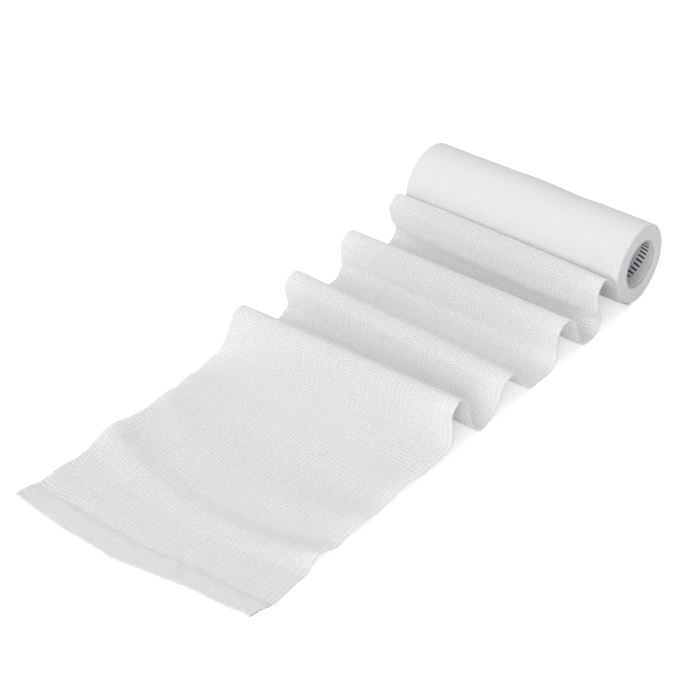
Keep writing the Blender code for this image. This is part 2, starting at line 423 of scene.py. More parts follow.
@dataclass(frozen=True)
class CrepeWeave:
    """Sizes and weights of the crepe's rows of short hollows and its lengthwise elastic threads.

    The threads and the rows wander a little, each column between two threads has its rows shifted by
    its own phase, and each hollow has its own strength. The hollows are darkened with painted shade as
    deep as their relief goes. The mean values keep the tone at nought on the average, so that a
    finish's colours are not shifted by its contrast.
    """

    wander_scale: float = 45.0
    across_stretch: float = 0.4
    thread_drift: float = 0.8 * MM
    pucker_drift: float = 3.0 * MM
    phase_scale: float = 70.0
    phase_kinship: float = 0.25
    slow_phase: float = 0.6
    lone_phase: float = 0.5
    pillow_roundness: float = 0.6
    pillow_floor: float = 0.25
    weakest_hollow: float = 0.15
    hollow_range: float = 1.3
    hollow_sharpness: float = 1.8
    mean_hollow: float = 0.39
    patch_edges: tuple = (0.38, 0.62)
    thread_sharpness: float = 3.0
    thread_floor: float = 0.2
    thread_range: float = 0.6
    thread_scale: float = 90.0
    thread_waver: float = 0.8
    thread_tone: float = 0.55
    mean_thread: float = 0.10
    grain_scale: float = 1100.0
    grain_tone: float = 2.1
    fuzz_scale: float = 2400.0
    rest_height: float = 0.70
    hollow_depth: float = -0.62
    thread_height: float = 0.10
    grain_height: float = -0.30
    fuzz_height: float = 0.16

    def build(self) -> bpy.types.NodeTree:
        """Rows of short hollows across the cloth, cut into columns by the threads.

        Returns:
            The group. Its Height is the cloth's relief, from 0 to 1, and its Shade Tone is the painted
            shade that darkens the hollows, with the threads lighter, which comes to nought on the average.
        """
        inputs = {
            "Plan": (0.0, 0.0, 0.0),
            "Thread Pitch": THREAD_PITCH,
            "Pucker Pitch": PUCKER_PITCH,
            "Patch Size": PATCH_SIZE,
            "Weakest": 0.5,
        }
        group, board, entry, leave = new_group("crepe_weave", inputs, ("Height", "Shade Tone"))
        plan = entry["Plan"]
        u, v = self.wandered(board, plan)

        columns = board.over(u, entry["Thread Pitch"])
        column = board.math("FLOOR", columns)
        within = board.math("FRACT", columns)
        chance = board.add("ShaderNodeTexWhiteNoise", noise_dimensions="1D")
        board.feed(chance.inputs["W"], column)
        chance = chance.outputs["Value"]
        kin = board.join(board.times(column, self.phase_kinship), board.times(v, self.phase_scale))
        phase = board.scaled(board.noise(kin, 1.0), self.slow_phase, board.times(chance, self.lone_phase))
        rows = board.plus(board.over(v, entry["Pucker Pitch"]), phase)
        valley = board.scaled(board.cosine(rows), -0.5, 0.5)

        bow = board.times(board.times(within, board.less(1.0, within)), 4.0)
        rounded = board.power(bow, self.pillow_roundness)
        pillow = board.scaled(rounded, 1 - self.pillow_floor, self.pillow_floor)
        cell = board.add("ShaderNodeTexWhiteNoise", noise_dimensions="2D")
        board.feed(cell.inputs["Vector"], board.join(column, board.math("FLOOR", board.plus(rows, 0.5))))
        held = board.scaled(cell.outputs["Value"], self.hollow_range, self.weakest_hollow)
        held = board.times(pillow, held)
        # Painted shade: the hollows' colour darkens along the same valleys that sink the relief.
        ripple = board.less(board.power(valley, self.hollow_sharpness), self.mean_hollow)

        patches = board.noise(plan, board.over(1.0, entry["Patch Size"]))
        strong = board.remap(patches, *self.patch_edges, entry["Weakest"], 1.0)
        lift = board.scaled(board.noise(plan, self.thread_scale), self.thread_waver, chance)
        thread = board.power(board.less(1.0, bow), self.thread_sharpness)
        thread = board.times(thread, board.scaled(lift, self.thread_range, self.thread_floor))
        fuzz = board.less(board.noise(plan, self.fuzz_scale, 3.0, 0.7), 0.5)
        dashes = board.join(board.times(u, self.across_stretch), v)
        grain = board.less(board.noise(dashes, self.grain_scale, 2.0, 0.8), 0.5)

        # The tone is painted shade in the hollows, with the lighter threads and the grain's fine light and
        # dark streaks laid over it.
        tone = board.times(board.times(ripple, held), strong)
        tone = board.scaled(board.less(self.mean_thread, thread), self.thread_tone, tone)
        tone = board.scaled(grain, self.grain_tone, tone)
        height = board.times(board.times(valley, held), strong)
        height = board.scaled(height, self.hollow_depth, self.rest_height)
        height = board.scaled(thread, self.thread_height, height)
        height = board.scaled(grain, self.grain_height, height)
        height = board.scaled(fuzz, self.fuzz_height, height)
        board.feed(leave["Height"], height)
        board.feed(leave["Shade Tone"], tone)
        return group

    def wandered(self, board: NodeBoard, plan: bpy.types.NodeSocket) -> tuple:
        """The plan's two coordinates, each drifting a little from place to place.

        Args:
            board: the group's board.
            plan: a place on the cloth's plan.

        Returns:
            The coordinate across the cloth and the one along it.
        """
        u, v, _ = board.split(plan)
        wander = board.add("ShaderNodeTexNoise")
        board.feed(wander.inputs["Vector"], board.join(board.times(u, self.across_stretch), v))
        board.feed(wander.inputs["Scale"], self.wander_scale)
        board.feed(wander.inputs["Detail"], 2.0)
        drift_u, drift_v, _ = board.split(wander.outputs["Color"])
        u = board.scaled(board.less(drift_u, 0.5), self.thread_drift, u)
        return u, board.scaled(board.less(drift_v, 0.5), self.pucker_drift, v)


def build_mottle() -> bpy.types.NodeTree:
    """Soft clouds and fine specks over a surface.

    Returns:
        The group, whose Value runs from 0 to 1 about one half.
    """
    inputs = {"Vector": (0.0, 0.0, 0.0), "Cloud Size": 0.02, "Speck Size": 0.0006, "Speck Share": 0.3}
    group, board, entry, leave = new_group("mottle", inputs, ("Value",))
    cloud = board.noise(entry["Vector"], board.over(1.0, entry["Cloud Size"]), 3.0, 0.55)
    speck = board.noise(entry["Vector"], board.over(1.0, entry["Speck Size"]), 2.0, 0.6)
    share = entry["Speck Share"]
    cloud = board.times(cloud, board.less(1.0, share))
    board.feed(leave["Value"], board.plus(cloud, board.times(speck, share)))
    return group


@dataclass
class SharedEffects:
    """The node groups that more than one finish uses, each built once."""

    crepe: bpy.types.NodeTree = field(default_factory=lambda: CrepeWeave().build())
    mottle: bpy.types.NodeTree = field(default_factory=build_mottle)


def start_material(name: str, **values: object) -> tuple:
    """Starts a material whose shader has these plain values.

    Args:
        name: the material's name.
        values: the shader's own sockets, named with _ for a space, and what they are set to.

    Returns:
        The material, its board and its shader's inputs.
    """
    material = bpy.data.materials.new(name)
    material.use_nodes = True
    shader = material.node_tree.nodes["Principled BSDF"].inputs
    for label, value in values.items():
        shader[label.replace("_", " ")].default_value = value
    return material, NodeBoard(material.node_tree), shader


@dataclass(frozen=True)
class CrepeFinish:
    """White crinkled cloth that reads the cloth's own plan, with painted shade darkening its hollows."""

    name: str
    light: tuple
    dark: tuple
    contrast: float
    relief: float
    weakest: float = 0.5
    thread_pitch: float = THREAD_PITCH
    pucker_pitch: float = PUCKER_PITCH
    patch_size: float = PATCH_SIZE
    cloud_tone: float = 0.25
    roughness: float = 0.9
    roughness_range: float = 0.06
    sheen: float = 0.12
    see_through: float = 0.0
    scatter: float = 4.0 * MM

    def material(self, effects: SharedEffects) -> bpy.types.Material:
        """The finished material.

        Args:
            effects: the shared node groups.

        Returns:
            The material.
        """
        material, board, shader = start_material(
            self.name, Sheen_Weight=self.sheen, Sheen_Roughness=0.6, Specular_IOR_Level=0.25,
            Subsurface_Weight=self.see_through, Subsurface_Radius=(1.0, 1.0, 1.0),
            Subsurface_Scale=self.scatter)
        plan = board.add("ShaderNodeUVMap", uv_map=CLOTH_MAP).outputs["UV"]
        weave = board.place(effects.crepe, Plan=plan, Thread_Pitch=self.thread_pitch,
                            Pucker_Pitch=self.pucker_pitch, Patch_Size=self.patch_size,
                            Weakest=self.weakest).outputs
        cloud = board.place(effects.mottle, Vector=plan, Cloud_Size=11 * MM, Speck_Size=0.7 * MM,
                            Speck_Share=0.5).outputs["Value"]
        # Painted shade: the weave's tone pulls the colour from light towards dark in the hollows.
        shade = board.scaled(weave["Shade Tone"], self.contrast, 0.5)
        shade = board.scaled(board.less(0.5, cloud), self.cloud_tone, shade)
        board.feed(shader["Base Color"], board.blend(shade, (*self.light, 1.0), (*self.dark, 1.0)))
        roughest = self.roughness + self.roughness_range
        smoothest = self.roughness - self.roughness_range
        rough = board.remap(weave["Height"], 0.0, 1.0, roughest, smoothest, False)
        board.feed(shader["Roughness"], rough)
        board.feed(shader["Normal"], board.bump(weave["Height"], self.relief))
        return material


@dataclass(frozen=True)
class CutEdgeFinish:
    """The wound cloth's cut edges on an end of the roll: close rings of soft fibre, with painted shade in
    the grooves between the turns.
    """

    axis_height: float
    name: str = "wound_cut_edges"
    light: tuple = (0.90, 0.90, 0.90)
    dark: tuple = (0.73, 0.73, 0.73)
    turn_pitch: float = 0.5 * MM
    wander_scale: float = 220.0
    wander: float = 0.9
    ring_shade: float = 0.35
    mottle_tone: float = 0.7
    mottle_height: float = 0.6
    relief: float = 0.10 * MM

    def material(self, effects: SharedEffects) -> bpy.types.Material:
        """The finished material, which reads Object coordinates.

        Args:
            effects: the shared node groups.

        Returns:
            The material.
        """
        material, board, shader = start_material(self.name, Specular_IOR_Level=0.2, Sheen_Weight=0.1)
        place = board.add("ShaderNodeTexCoord").outputs["Object"]
        _, radius, turn = board.around_axis(place, self.axis_height)
        wander = board.times(board.noise(place, self.wander_scale), self.wander)
        phase = board.plus(board.plus(board.over(radius, self.turn_pitch), turn), wander)
        ring = board.scaled(board.cosine(phase), 0.5, 0.5)
        mottle = board.place(effects.mottle, Vector=place, Cloud_Size=6 * MM, Speck_Size=0.45 * MM,
                             Speck_Share=0.5).outputs["Value"]
        # Painted shade: the colour darkens in the low grooves between the rings, where the relief sinks.
        shade = board.times(board.less(1.0, ring), self.ring_shade)
        shade = board.scaled(mottle, self.mottle_tone, shade)
        board.feed(shader["Base Color"], board.blend(shade, (*self.light, 1.0), (*self.dark, 1.0)))
        board.feed(shader["Roughness"], board.remap(mottle, 0.3, 0.7, 0.86, 0.96))
        height = board.scaled(mottle, self.mottle_height, board.times(ring, 1 - self.mottle_height))
        board.feed(shader["Normal"], board.bump(height, self.relief))
        return material


@dataclass(frozen=True)
class CorePaperFinish:
    """The core's paper: cream on the cut rims, grey inside, with a slanting band of plain navy dashes."""

    axis_height: float
    half_width: float
    bore_radius: float
    wall: float
    name: str = "core_paper"
    rim: tuple = (0.60, 0.57, 0.53)
    inside: tuple = (0.80, 0.79, 0.82)
    ink: tuple = (0.012, 0.025, 0.07)
    dash_count: float = 30
    dash_share: float = 0.42
    band_start: float = -1.0 * MM
    band_climb: float = 18.0 * MM
    dash_length: float = 5.0 * MM
    dash_slant: float = 90.0
    dash_softness: float = 0.3 * MM
    rim_depth: tuple = (0.25 * MM, 0.5 * MM)
    relief: float = 0.05 * MM

    def material(self, effects: SharedEffects) -> bpy.types.Material:
        """The finished material, which reads Object coordinates.

        Args:
            effects: the shared node groups.

        Returns:
            The material.
        """
        material, board, shader = start_material(self.name, Specular_IOR_Level=0.35)
        place = board.add("ShaderNodeTexCoord").outputs["Object"]
        x, radius, turn = board.around_axis(place, self.axis_height)
        depth = board.less(self.half_width, board.math("ABSOLUTE", x))
        mottle = board.place(effects.mottle, Vector=place, Cloud_Size=7 * MM, Speck_Size=0.35 * MM,
                             Speck_Share=0.55).outputs["Value"]
        tone = board.remap(mottle, 0.3, 0.7, 0.86, 1.06, False)
        inward = board.remap(depth, *self.rim_depth)
        paper = board.blend(inward, (*self.rim, 1.0), (*self.inside, 1.0))
        shaded = board.add("ShaderNodeVectorMath", operation="SCALE")
        board.feed(shaded.inputs[0], paper)
        board.feed(shaded.inputs["Scale"], tone)
        printed = board.times(self.dashes(board, depth, turn), self.on_bore(board, radius))
        ink = board.times(printed, board.remap(mottle, 0.32, 0.42, 0.75, 1.0))
        board.feed(shader["Base Color"], board.blend(ink, shaded.outputs[0], (*self.ink, 1.0)))
        board.feed(shader["Roughness"], board.remap(ink, 0.0, 1.0, 0.62, 0.45))
        board.feed(shader["Normal"], board.bump(mottle, self.relief))
        return material

    def on_bore(self, board: NodeBoard, radius: bpy.types.NodeSocket) -> bpy.types.NodeSocket:
        """Where the surface is the bore's own, and not a rim or the outside."""
        near = self.bore_radius + 0.3 * self.wall
        return board.remap(radius, near, near + 0.2 * self.wall, 1.0, 0.0)

    def dashes(self, board: NodeBoard, depth: bpy.types.NodeSocket,
               turn: bpy.types.NodeSocket) -> bpy.types.NodeSocket:
        """The band of slanting dashes, which climbs into the tube from the bottom to the top.

        Args:
            board: the material's board.
            depth: how far in from the nearest end a place is.
            turn: its angle about the axis, in full turns.

        Returns:
            The ink's strength, from 0 to 1.
        """
        lean = board.times(depth, self.dash_slant)
        ring = board.math("FRACT", board.scaled(turn, self.dash_count, lean))
        off_middle = board.math("ABSOLUTE", board.less(ring, 0.5))
        half_dash = self.dash_share / 2
        bar = board.remap(off_middle, half_dash - 0.05, half_dash + 0.03, 1.0, 0.0)
        climb = board.times(board.math("ABSOLUTE", turn), self.band_climb)
        into = board.less(board.less(depth, self.band_start), climb)
        begun = board.remap(into, 0.0, self.dash_softness)
        ended = board.remap(into, self.dash_length - self.dash_softness, self.dash_length, 1.0, 0.0)
        return board.times(bar, board.times(begun, ended))


# ---------------------------------------------------------------------------------------------
# The wound roll
# ---------------------------------------------------------------------------------------------


class Dent(NamedTuple):
    """A soft rise or hollow along the back of the roll, in millimetres: where, how wide, how high."""

    place: float
    reach: float
    lift: float


BACK_DENTS = (
    Dent(-6.0, 15.0, 0.70),
    Dent(26.0, 9.0, -0.60),
)


@dataclass(frozen=True)
class WoundForm:
    """The outside of the wound cloth: a radius about the core's axis, at an angle from straight down."""

    half_width: float
    axis_height: float
    end_radius: float = 24.1 * MM
    belly: float = 1.3 * MM
    belly_lean: float = 0.6
    belly_angle: float = math.radians(80)
    sag: float = 0.7 * MM
    oval: float = 0.16 * MM
    oval_phase: float = 0.6
    ripple: float = 0.10 * MM
    ripple_twist: float = 4.0
    niche: float = 0.85 * MM
    niche_angles: tuple = (math.radians(17.5), math.radians(70), math.radians(100))

    def niche_depth(self, angle: np.ndarray) -> np.ndarray:
        """How deep the roll is set back where its last turn has come away as the loose cloth.

        Args:
            angle: angle from straight down.

        Returns:
            The depth at each angle.
        """
        start, full, end = self.niche_angles
        share = np.clip((angle - full) / (end - full), 0, 1)
        depth = self.niche * (1 - share * share * (3 - 2 * share))
        return np.where((angle < start) | (angle > end), 0.0, depth)

    def bulge(self, x: np.ndarray) -> np.ndarray:
        """How much fuller the front of the roll is here than at its ends."""
        along = x / self.half_width
        return self.belly * (1 - along * along) * (1 - self.belly_lean * along)

    def radius(self, x: np.ndarray, angle: np.ndarray) -> np.ndarray:
        """The outside radius: fuller in the middle than at the ends, sagging and a little uneven.

        Args:
            x: place along the core.
            angle: angle from straight down towards the front, in radians from 0 to a full turn.

        Returns:
            The radius at each place.
        """
        along = x / self.half_width
        uneven = self.oval * np.sin(2 * angle + self.oval_phase)
        uneven = uneven + self.ripple * np.sin(3 * angle + self.ripple_twist * along)
        sag = self.sag * np.maximum(0.0, np.cos(angle)) ** 2
        front = (1 + np.cos(angle - self.belly_angle)) / 2
        for dent in BACK_DENTS:
            width = np.exp(-((x - dent.place * MM) / (dent.reach * MM)) ** 2)
            uneven = uneven + dent.lift * MM * width * np.sin((angle - self.belly_angle) / 2) ** 2
        return self.end_radius + self.bulge(x) * front + sag + uneven - self.niche_depth(angle)

    def around(self, x: np.ndarray, radius: np.ndarray, angle: np.ndarray) -> np.ndarray:
        """Points at these radii and angles about the axis.

        Args:
            x: place along the core.
            radius: distance from its axis.
            angle: angle from straight down.

        Returns:
            The points, as rows of x, y, z.
        """
        y = -radius * np.sin(angle)
        z = self.axis_height - radius * np.cos(angle)
        return np.column_stack(np.broadcast_arrays(x, y, z))

    def polar(self, points: np.ndarray) -> tuple:
        """The radius and the angle of points about the axis.

        Args:
            points: the points, as rows of x, y, z.

        Returns:
            Their radii, and their angles from straight down.
        """
        rise = self.axis_height - points[:, 2]
        angle = np.arctan2(-points[:, 1], rise) % (2 * math.pi)
        return np.hypot(points[:, 1], rise), angle


def spun_section(corners: tuple, cuts: tuple, axis_height: float, segments: int) -> bmesh.types.BMesh:
    """Turns a closed section round the core's axis.

    Args:
        corners: the section's corners as (x, radius).
        cuts: how many times the side from each corner to the next one is cut.
        axis_height: the axis's height above the surface.
        segments: steps in the full turn.

    Returns:
        The closed shape, its faces pointing out.
    """
    shape = bmesh.new()
    verts = [shape.verts.new((x, 0.0, axis_height + radius)) for x, radius in corners]
    sides = [shape.edges.new((a, b)) for a, b in zip(verts, verts[1:] + verts[:1])]
    for side, count in zip(sides, cuts):
        if count:
            bmesh.ops.subdivide_edges(shape, edges=[side], cuts=count)
    geometry = list(shape.verts) + list(shape.edges)
    bmesh.ops.spin(shape, geom=geometry, cent=(0.0, 0.0, axis_height), axis=ACROSS, dvec=(0.0, 0.0, 0.0),
                   angle=2 * math.pi, steps=segments, use_merge=True, use_duplicate=False)
    bmesh.ops.remove_doubles(shape, verts=shape.verts, dist=0.001 * MM)
    bmesh.ops.recalc_face_normals(shape, faces=shape.faces)
    return shape


@dataclass
class RollCloth:
    """The cloth that is still wound on its core, with soft rims and the edges of its turns on both ends."""

    form: WoundForm
    bore: float
    effects: SharedEffects
    rounding: float = 1.2 * MM
    segments: int = 240
    cuts_along: int = 100
    cuts_over_end: int = 42
    rim_steps: int = 5
    turn_pitch: float = 1.0 * MM
    turn_relief: float = 0.13 * MM
    turn_offset: float = 0.16 * MM
    crinkle: float = 0.07 * MM
    lump_size: tuple = (16 * MM, 5 * MM)
    fine_lump_size: tuple = (6 * MM, 2.4 * MM)
    fine_lumps: float = 0.6
    rim_teeth: float = 0.12 * MM
    tooth_length: float = 1.3 * MM
    relief_on_rim: float = 0.45

    def rim(self, side: Side) -> list:
        """The rounded rim of the section at one end, from the end face to the outside.

        Args:
            side: which end.

        Returns:
            The corners, as (x, radius).
        """
        points = []
        for step in range(self.rim_steps + 1):
            turn = 0.5 * math.pi * step / self.rim_steps
            inward = self.rounding * (1 - math.cos(turn))
            down = self.rounding * (1 - math.sin(turn))
            points.append((side.value * (self.form.half_width - inward), self.form.end_radius - down))
        return points

    def section(self) -> tuple:
        """The section's corners and how often each side is cut.

        Returns:
            The corners as (x, radius), and the count of cuts for each side.
        """
        left = self.rim(Side.LEFT)
        right = self.rim(Side.RIGHT)[::-1]
        half = self.form.half_width
        corners = ((-half, self.bore), *left, *right, (half, self.bore))
        cuts = [self.cuts_over_end, *[0] * self.rim_steps, self.cuts_along, *[0] * self.rim_steps,
                self.cuts_over_end, 0]
        return corners, tuple(cuts)

    def outside(self, x: np.ndarray, angle: np.ndarray) -> np.ndarray:
        """The outside radius with the cloth's fine lumps on it.

        Args:
            x: place along the core.
            angle: angle from straight down.

        Returns:
            The radius at each place.
        """
        arc = angle * self.form.end_radius
        across, along = self.lump_size
        lumps = Unevenness(11).at(x / across, arc / along)
        across, along = self.fine_lump_size
        lumps = lumps + self.fine_lumps * Unevenness(12).at(x / across, arc / along)
        return self.form.radius(x, angle) + self.crinkle * lumps

    def turn_edges(self, radius: np.ndarray, angle: np.ndarray) -> np.ndarray:
        """How far the edges of the turns stand out of an end face.

        Args:
            radius: distance from the core's axis.
            angle: angle from straight down.

        Returns:
            The step out at each place, below nought between two turns.
        """
        turns = (radius - self.bore) / self.turn_pitch + angle / FULL_TURN
        layer = np.floor(turns)
        swell = np.sin(math.pi * (turns - layer))
        slide = Unevenness(21).at(layer * 3.7, 2.5 * np.cos(angle) + 7) * swell**0.3
        return self.turn_relief * (swell**0.6 - 1) + self.turn_offset * slide

    def shaped(self, points: np.ndarray) -> np.ndarray:
        """Carries the plain turned shape to the roll's uneven form.

        Args:
            points: the turned shape's vertices.

        Returns:
            Their new places.
        """
        form = self.form
        x = points[:, 0]
        radius, angle = form.polar(points)
        depth = form.end_radius - self.bore
        share = (radius - self.bore) / depth
        radius = self.bore + share * (self.outside(x, angle) - self.bore)
        at_end = np.clip((np.abs(x) - form.half_width + self.rounding) / self.rounding, 0, 1)
        at_end = at_end * np.clip(share * 12, 0, 1)
        push = self.turn_edges(radius, angle)
        push = push * np.where(share < 1 - 1.5 * self.rounding / depth, 1.0, self.relief_on_rim)
        arc = angle * form.end_radius
        teeth = self.rim_teeth * Unevenness(31).at(arc / self.tooth_length, np.sign(x) * 5.0)
        moved = form.around(x + np.sign(x) * at_end * (push + teeth * share), radius, angle)
        moved[:, 2] = np.maximum(moved[:, 2], 0.0)
        return moved

    def lay_map(self, mesh: bpy.types.Mesh, plain: np.ndarray) -> None:
        """Lays the cloth's plan round the roll: x across, the way round along.

        Args:
            mesh: the roll's mesh.
            plain: its vertices before they were shaped.
        """
        radius, angle = self.form.polar(plain)
        index = corner_vertices(mesh)
        counts = np.empty(len(mesh.polygons), dtype=np.int32)
        mesh.polygons.foreach_get("loop_total", counts)
        owner = np.repeat(np.arange(len(counts)), counts)
        turn = angle[index]
        widest = np.zeros(len(counts))
        np.maximum.at(widest, owner, turn)
        past_seam = (widest[owner] > 0.75 * FULL_TURN) & (turn < 0.25 * FULL_TURN)
        turn = np.where(past_seam, turn + FULL_TURN, turn)
        across = plain[index, 0] + np.sign(plain[index, 0]) * (self.form.end_radius - radius[index])
        write_map(mesh, across, turn * self.form.end_radius)

    def build(self) -> bpy.types.Object:
        """Makes the roll and dresses it.

        Returns:
            The finished piece.
        """
        corners, cuts = self.section()
        shape = spun_section(corners, cuts, self.form.axis_height, self.segments)
        piece = place_piece("roll_cloth", shape)
        plain = read_points(piece.data)
        write_points(piece.data, self.shaped(plain))
        self.lay_map(piece.data, plain)
        wound = CrepeFinish("wound_crepe", light=(0.90, 0.90, 0.90), dark=(0.72, 0.72, 0.72),
                            contrast=0.42, relief=0.08 * MM, pucker_pitch=1.9 * MM)
        piece.data.materials.append(wound.material(self.effects))
        piece.data.materials.append(CutEdgeFinish(self.form.axis_height).material(self.effects))
        self.assign_edges(piece.data, plain)
        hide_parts("wound_roll")
        return piece

    def assign_edges(self, mesh: bpy.types.Mesh, plain: np.ndarray) -> None:
        """Gives the faces on both ends the finish of cut edges."""
        for face in mesh.polygons:
            x = plain[list(face.vertices), 0]
            if np.all(np.abs(x) > self.form.half_width - 0.2 * self.rounding):
                face.material_index = 1


# ---------------------------------------------------------------------------------------------
# The paper core
# ---------------------------------------------------------------------------------------------


@dataclass
class PaperCore:
    """The wound paper tube inside the roll, with softened rims and its spiral seam."""

    axis_height: float
    half_width: float
    outside: float
    effects: SharedEffects
    wall: float = 0.8 * MM
    segments: int = 160
    cuts_along: int = 90
    softening: float = 0.22 * MM
    seam_lead: float = 62 * MM
    seam_depth: float = 0.12 * MM
    seam_width: float = 1.6 * MM
    lump_length: float = 20 * MM
    lump_height: float = 0.05 * MM
    lining_share: float = 0.4

    def corners(self) -> tuple:
        """The wall's section with its four corners cut back a little.

        Returns:
            The corners, as (x, radius).
        """
        half = self.half_width
        soft = self.softening
        inner = self.outside - self.wall
        return (
            (-half + soft, self.outside), (half - soft, self.outside),
            (half, self.outside - soft), (half, inner + soft),
            (half - soft, inner), (-half + soft, inner),
            (-half, inner + soft), (-half, self.outside - soft),
        )

    def build(self) -> bpy.types.Object:
        """Makes the tube and dresses it.

        Returns:
            The finished piece.
        """
        cuts = (0, 0, 1, 0, self.cuts_along, 0, 1, 0)
        shape = spun_section(self.corners(), cuts, self.axis_height, self.segments)
        piece = place_piece("core_paper_tube", shape)
        points = read_points(piece.data)
        rise = self.axis_height - points[:, 2]
        radius = np.hypot(points[:, 1], rise)
        angle = np.arctan2(-points[:, 1], rise)
        inner = self.outside - self.wall
        lead = (points[:, 0] / self.seam_lead + angle / FULL_TURN) % 1.0
        step = np.clip(lead * self.seam_lead / self.seam_width, 0, 1) - lead
        lining = np.clip(1 - (radius - inner) / (self.lining_share * self.wall), 0, 1)
        paper = Unevenness(41).at(points[:, 0] / self.lump_length, 6 * np.cos(angle))
        radius = radius - lining * (self.seam_depth * step - self.lump_height * paper)
        points[:, 1] = -radius * np.sin(angle)
        points[:, 2] = self.axis_height - radius * np.cos(angle)
        write_points(piece.data, points)
        finish = CorePaperFinish(self.axis_height, self.half_width, inner, self.wall)
        piece.data.materials.append(finish.material(self.effects))
        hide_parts("core_tube")
        return piece


# ---------------------------------------------------------------------------------------------
# The drawn-out cloth
# ---------------------------------------------------------------------------------------------


class Fold(NamedTuple):
    """One standing fold along one side edge: distances in front of the core's axis and heights, in mm."""

    foot: float
    heel: float
    back: float
    nape: float
    shoulder: float
    crest: float
    height: float
    brow: float
    fall: float
    waist: float
    landing: float
    lift: float


class Swell(NamedTuple):
    """A low ridge or hollow of the flat stretch: distance and lift at the left, middle and right, in mm."""

    left_run: float
    left_lift: float
    middle_run: float
    middle_lift: float
    right_run: float
    right_lift: float


class EndRow(NamedTuple):
    """The free end at one share of the width: its distance and the depth of its folded tab, in mm."""

    share: float
    run: float
    tab: float


class Bow(NamedTuple):
    """How much higher a fold's crest, and how much further forward its front, is in the middle, in mm."""

    crest: float
    brow: float
    fall: float
    waist: float


# The first fold climbs straight off the roll, so its foot, heel and back aren't used.
#        foot   heel   back   nape   shoulder crest height brow   fall   waist  landing lift
LEFT_FOLDS = (
    Fold(0.0, 0.0, 0.0, 24.6, 27.9, 33.2, 30.5, 39.5, 37.0, 32.0, 38.5, 0.0),
    Fold(55.0, 63.0, 67.4, 70.2, 73.0, 77.5, 26.5, 83.0, 84.4, 84.3, 91.0, 0.0),
    Fold(104.0, 111.0, 117.0, 121.4, 124.6, 128.6, 24.6, 134.8, 134.8, 133.9, 141.5, 0.0),
    Fold(152.0, 159.0, 164.0, 168.0, 171.2, 175.6, 26.0, 182.2, 186.4, 193.0, 201.0, 3.0),
)
RIGHT_FOLDS = (
    Fold(0.0, 0.0, 0.0, 28.3, 34.2, 39.3, 34.2, 45.5, 43.2, 38.8, 46.5, 0.0),
    Fold(53.0, 60.2, 64.2, 67.4, 71.0, 75.2, 26.6, 82.2, 83.6, 83.6, 91.5, 0.0),
    Fold(104.0, 111.8, 117.5, 121.5, 124.9, 129.4, 20.5, 136.4, 139.4, 143.2, 151.0, 0.0),
    Fold(154.0, 160.4, 164.8, 167.1, 171.3, 175.8, 31.4, 181.6, 180.9, 181.8, 192.0, 3.4),
)
#      crest brow fall waist
BOWS = (
    Bow(0.9, 1.2, 5.0, 4.6),
    Bow(0.3, 0.3, 0.5, -3.5),
    Bow(1.0, 0.0, 0.0, 0.0),
    Bow(0.4, 0.0, 0.0, 0.0),
)
#         left         middle       right
SWELLS = (
    Swell(209.0, 1.7, 204.0, 0.9, 210.0, 3.0),
    Swell(217.0, 2.0, 216.0, 2.0, 225.0, 4.0),
    Swell(226.0, 1.4, 240.0, 0.6, 240.0, 1.9),
    Swell(236.0, 2.7, 262.0, 1.6, 253.0, 4.6),
    Swell(248.0, 0.9, 273.0, 0.5, 264.0, 2.4),
    Swell(262.0, 1.0, 284.0, 0.3, 273.0, 0.9),
    Swell(278.0, 4.6, 296.0, 1.7, 288.0, 5.0),
    Swell(293.0, 0.7, 308.0, 0.2, 298.0, 0.3),
    Swell(307.0, 0.0, 317.0, 0.0, 309.0, 0.0),
    Swell(321.0, 0.6, 326.0, 0.2, 318.0, 0.0),
)
#      share  run    tab
FREE_END = (
    EndRow(0.00, 344.6, 13.3),
    EndRow(0.22, 347.3, 15.6),
    EndRow(0.45, 348.0, 15.6),
    EndRow(0.62, 343.7, 15.0),
    EndRow(0.80, 339.6, 13.2),
    EndRow(1.00, 337.0, 12.4),
)


def mix(a: float, b: float, share: float) -> float:
    """The value at this share of the way from a to b."""
    return a + (b - a) * share


def bent(left: float, middle: float, right: float, share: float) -> float:
    """The value at this share of the width, on a smooth bow through the three that are given."""
    return mix(left, right, share) + 4 * share * (1 - share) * (middle - (left + right) / 2)


def fold_at(index: int, share: float) -> Fold:
    """One fold's sizes at this share of the width, left edge to right edge."""
    pairs = zip(LEFT_FOLDS[index], RIGHT_FOLDS[index])
    return Fold(*(mix(left, right, share) for left, right in pairs))


